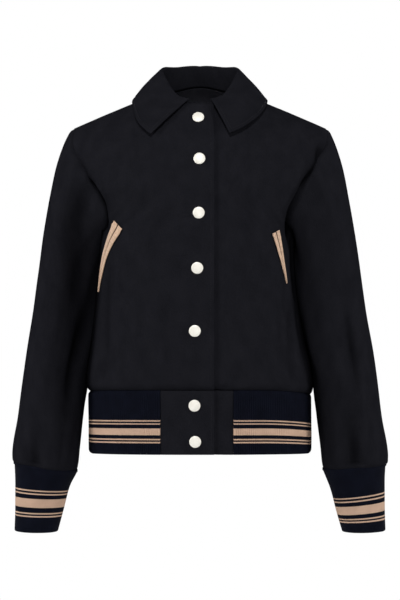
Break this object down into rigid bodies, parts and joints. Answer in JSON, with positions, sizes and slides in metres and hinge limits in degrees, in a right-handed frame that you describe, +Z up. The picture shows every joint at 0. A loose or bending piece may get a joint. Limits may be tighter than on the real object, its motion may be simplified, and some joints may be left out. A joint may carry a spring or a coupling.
{
  "type": "bomber jacket",
  "caption": "Short wool bomber jacket with a turned-down collar, slanted welt pockets, snap front, and a striped ribbed hem band and cuffs.",
  "frame": {"origin": "centre of the neck opening, at the height of the back neck seam, where the wearer's neck and shoulders carry the jacket", "axes": "+Z up, the front of the jacket faces -Y, +X towards the wearer's left"},
  "size_m": [0.559, 0.2547, 0.701],
  "materials": {
    "wool": "near-black brushed wool cloth with a short felted nap, a faint sheen at grazing angles",
    "rib_knit": "dark navy ribbed knit with one wide and four thin beige stripes, matt",
    "welt_cloth": "plain beige woven cloth, folded double along the pocket slit, matt",
    "snap_cap": "cream enamelled snap cap, a low smooth dome with a soft gloss"
  },
  "bodies": {
    "root": {"front_right": "wool", "front_left": "wool", "back": "wool", "sleeve_right": "wool", "sleeve_left": "wool", "collar": "wool", "hem_tab_right": "wool", "hem_tab_left": "wool", "hem_band": "rib_knit", "cuff_right": "rib_knit", "cuff_left": "rib_knit", "welt_right_front": "welt_cloth", "welt_right_side": "welt_cloth", "welt_left_front": "welt_cloth", "welt_left_side": "welt_cloth", "snap_1": "snap_cap", "snap_2": "snap_cap", "snap_3": "snap_cap", "snap_4": "snap_cap", "snap_5": "snap_cap", "snap_6": "snap_cap", "snap_7": "snap_cap"}
  },
  "joints": []
}
